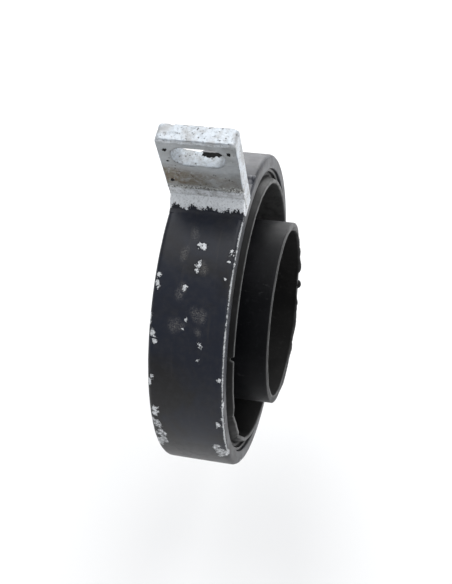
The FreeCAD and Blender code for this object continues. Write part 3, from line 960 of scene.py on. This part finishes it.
def cushion_web(material):
    """The folded rubber web, in sectors that run between the rim, the fold and the sleeve."""
    x, middle_r, thick, arch = web_wall()
    wall = thick * 0.96
    lead_in = [(x, RIM_INNER_R + 0.4 * MM), (x, RIM_INNER_R - 0.8 * MM)]
    lead_out = [(x, BOND_OUTER_R - 0.8 * MM), (x, JACKET_R - 0.3 * MM)]
    outer_line = lead_in + arch[:9]
    inner_line = arch[8:] + lead_out
    width = 360 / WEB_SECTORS
    for i in range(WEB_SECTORS):
        angle = i * width
        outer = web_piece(f"web_outer_{i + 1:02d}", outer_line, wall,
                          angle, width, material)
        inner = web_piece(f"web_inner_{i + 1:02d}", inner_line, wall,
                          angle, width, material)
        if i == 0:
            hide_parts("web_root", "web_crown")
            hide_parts("web_bond")


# ---- sleeve ---------------------------------------------------------------------------------
# Where the jacket's front end is turned up and rubbed: the middle angle and half-width of each place.
END_FLAPS = [(48.0, 34.0), (182.0, 26.0)]
FLAP_REACH = 0.45 * MM


def sleeve_jacket(material):
    """Rubber jacket of the sleeve, turned over the tube's ends."""
    back, front = span("sleeve_jacket")
    fit = LINER_R + 0.01 * MM
    corners = [
        (back, fit, 0), (front, fit, 0), (front, JACKET_R, 0.35 * MM), (back, JACKET_R, 0.45 * MM),
    ]
    bm = spun_ring(corners, 480, 0.9 * MM)
    pale_mark = bm.verts.layers.float.new("pale_mark")
    for vert in bm.verts:
        radius = math.hypot(vert.co.y, vert.co.z)
        at_end = fade(vert.co.x, front - 0.30 * MM, front - 0.05 * MM)
        angle = angle_of(vert.co)
        flap = max(fade(1 - abs(angle_gap(angle, where)) / width, 0, 0.4) for where, width in END_FLAPS)
        vert[pale_mark] = at_end * (0.10 + 0.75 * flap)
        vert.co.x += FLAP_REACH * flap * fade(vert.co.x, front - 2.0 * MM, front)
        if radius > JACKET_R - 0.6 * MM:
            sink = 0.12 * MM * (0.5 + 0.5 * noise.noise(vert.co * 70) + 0.4 * noise.noise(vert.co * 260))
            vert.co.yz = vert.co.yz * (1 - max(0.0, sink) / radius)
    obj = finished(bm, "jacket_rubber", material)
    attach(obj, "sleeve")
    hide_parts("sleeve_jacket")


# The angles that the liner's torn front edge runs between, and how far it strays.
TORN_FROM, TORN_TO = 40.0, 185.0
TORN_REACH = 0.6 * MM
GROOVE_HALF = 1.7 * MM
GROOVE_DEPTH = 0.5 * MM


def sleeve_liner(material):
    """Thin liner, its front edge torn wavy on one side, with one shallow groove along the bore."""
    back, front = span("sleeve_liner")
    corners = [
        (back, BORE_R, 0.2 * MM), (front, BORE_R, 0.2 * MM),
        (front, LINER_R, 0.25 * MM), (back, LINER_R, 0.25 * MM),
    ]
    bm = spun_ring(corners, 720, 0.7 * MM)
    pale_mark = bm.verts.layers.float.new("pale_mark")
    for vert in bm.verts:
        radius = math.hypot(vert.co.y, vert.co.z)
        angle = angle_of(vert.co)
        vert[pale_mark] = 0.9 * fade(vert.co.x, front - 0.5 * MM, front - 0.1 * MM)
        if vert.co.x > front - 0.8 * MM:
            wave = noise_1d(angle, 0.09, 5.0) + 0.35 * noise_1d(angle, 0.40, 1.0)
            wave += 0.10 * noise_1d(angle, 1.4, 8.0)
            wave -= 1.3 * fade(1 - abs(angle_gap(angle, NUB_ANGLE)) / 14.0, 0, 0.5)
            torn = fade(angle % 360, TORN_FROM, TORN_FROM + 15)
            torn *= 1 - fade(angle % 360, TORN_TO - 15, TORN_TO)
            smooth_edge = -0.45 * MM + 0.10 * MM * wave
            torn_edge = TORN_REACH * max(-1.0, min(1.0, 0.45 + 1.1 * wave))
            vert.co.x += smooth_edge * (1 - torn) + torn_edge * torn
        off = abs(angle_gap(angle, NUB_ANGLE)) * math.radians(1) * radius
        if radius < BORE_R + 0.35 * MM and off < GROOVE_HALF:
            vert.co.yz = vert.co.yz * (1 + GROOVE_DEPTH * fade(GROOVE_HALF - off, 0, 0.8 * MM) / radius)
    obj = finished(bm, "liner_rubber", material)
    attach(obj, "sleeve")
    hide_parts("sleeve_liner")


NUB_INWARD = 0.3 * MM
NUB_SWELL = 1.25


def moulding_nub(material):
    """The small round pip on the sleeve's front face."""
    low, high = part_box("moulding_nub")
    radius = (high[2] - low[2]) / 2 * NUB_SWELL
    tip = high[0]
    centre = Vector((tip - radius, (low[1] + high[1]) / 2, (low[2] + high[2]) / 2))
    centre.yz = centre.yz * (1 - NUB_INWARD / math.hypot(centre.y, centre.z))
    bm = bmesh.new()
    bmesh.ops.create_uvsphere(bm, u_segments=40, v_segments=24, radius=radius)
    bmesh.ops.translate(bm, verts=bm.verts, vec=centre)
    for vert in bm.verts:
        off = vert.co - centre
        vert.co = centre + off * (0.97 + 0.05 * noise.noise(vert.co * 900))
    obj = finished(bm, "nub_rubber", material)
    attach(obj, "sleeve")
    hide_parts("moulding_nub")


# ---- light, floor, camera -------------------------------------------------------------------
VIEW_AZIMUTH = 18.6
VIEW_ELEVATION = 50.4
VIEW_ROLL = -7.8
VIEW_DISTANCE = 0.337
VIEW_TARGET = Vector((-0.0007, 0.0040, 0.0032))
VIEW_LENS = 55.8


def view_axes(azimuth, elevation):
    """Right, up and back directions of a view."""
    a, e = math.radians(azimuth), math.radians(elevation)
    back = Vector((math.sin(a) * math.cos(e), -math.cos(a) * math.cos(e), math.sin(e)))
    right = Vector((math.cos(a), math.sin(a), 0))
    return right, back.cross(right), back


def make_camera():
    right, up, back = view_axes(VIEW_AZIMUTH, VIEW_ELEVATION)
    roll = math.radians(VIEW_ROLL)
    rolled_right = right * math.cos(roll) + up * math.sin(roll)
    rolled_up = up * math.cos(roll) - right * math.sin(roll)
    data = bpy.data.cameras.new("camera")
    data.lens = VIEW_LENS
    data.clip_start = 0.01
    camera = bpy.data.objects.new("camera", data)
    turn = Matrix((rolled_right, rolled_up, back)).transposed().to_4x4()
    camera.matrix_world = Matrix.Translation(VIEW_TARGET + back * VIEW_DISTANCE) @ turn
    bpy.context.scene.collection.objects.link(camera)
    bpy.context.scene.camera = camera


def soft_light(name, azimuth, elevation, distance, size, power):
    """A square soft light that faces the part."""
    right, up, back = view_axes(azimuth, elevation)
    data = bpy.data.lights.new(name, "AREA")
    data.shape = "SQUARE"
    data.size = size
    data.energy = power
    light = bpy.data.objects.new(name, data)
    turn = Matrix((right, up, back)).transposed().to_4x4()
    light.matrix_world = Matrix.Translation(back * distance) @ turn
    light.visible_camera = False
    bpy.context.scene.collection.objects.link(light)


FLOOR_DROP = 0.06


def make_floor():
    """A plain pale floor under the part."""
    bm = bmesh.new()
    bmesh.ops.create_grid(bm, x_segments=1, y_segments=1, size=6.0)
    bmesh.ops.translate(bm, verts=bm.verts, vec=Vector((0, 0, CAD_BOX[0][2] - FLOOR_DROP)))
    mesh = bpy.data.meshes.new("floor")
    bm.to_mesh(mesh)
    bm.free()
    floor = bpy.data.objects.new("floor", mesh)
    bpy.context.scene.collection.objects.link(floor)
    mesh.materials.append(Finish("floor_pale", (0.92, 0.92, 0.92), 0.9).material)


def make_world():
    world = bpy.data.worlds.new("studio")
    bpy.context.scene.world = world
    world.use_nodes = True
    sky = world.node_tree.nodes["Background"]
    sky.inputs["Color"].default_value = (0.95, 0.97, 1.0, 1.0)
    sky.inputs["Strength"].default_value = 0.42


def make_stage():
    bpy.context.scene.view_settings.view_transform = "Standard"
    make_camera()
    make_floor()
    make_world()
    soft_light("overhead", 180, 67, 2.0, 2.4, 42.0)
    soft_light("right_side", 80, 30, 1.4, 0.8, 3.2)
    soft_light("behind", 178, 14, 1.3, 0.9, 9.5)


# ---- the part -------------------------------------------------------------------------------
def make_part():
    paint = chipped_paint("black_paint")
    weld_paint = chipped_paint("painted_weld")
    # Weld metal, its pale colour partly painted light.
    weld = chipped_paint("weld_metal", WELD_METAL_WITH_PAINTED_LIGHT, DARK_WELD)
    zinc = bare_zinc()
    rim_rubber = moulded_rubber(
        "cushion_rubber", (0.007, 0.007, 0.0072), (0.014, 0.014, 0.014), 0.50, 900.0, 0.14)
    web_rubber = moulded_rubber(
        "web_rubber", (0.020, 0.0178, 0.0165), (0.036, 0.032, 0.029), 0.62, 700.0, 0.2)
    jacket_rubber = moulded_rubber(
        "jacket_rubber", (0.0050, 0.0053, 0.0064), (0.0095, 0.0098, 0.0115), 0.50, 1300.0, 0.09)
    liner_rubber = moulded_rubber(
        "liner_rubber", (0.0068, 0.0066, 0.0066), (0.014, 0.0135, 0.013), 0.60, 1100.0, 0.12)
    outer_band(paint)
    seam_weld(weld_paint)
    front = lug_weld("weld_front", -1, weld)
    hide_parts("lug_weld_front")
    back = lug_weld("weld_back", 1, weld)
    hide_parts("lug_weld_back")
    mounting_lug(zinc)
    cushion_shell(coated_steel())
    cushion_rim(rim_rubber)
    cushion_web(web_rubber)
    sleeve_jacket(jacket_rubber)
    sleeve_liner(liner_rubber)
    moulding_nub(liner_rubber)
    tube = frame["nodes"]["sleeve_tube"]
    tube.data.materials.clear()
    tube.data.materials.append(drawn_steel())


make_part()
make_stage()
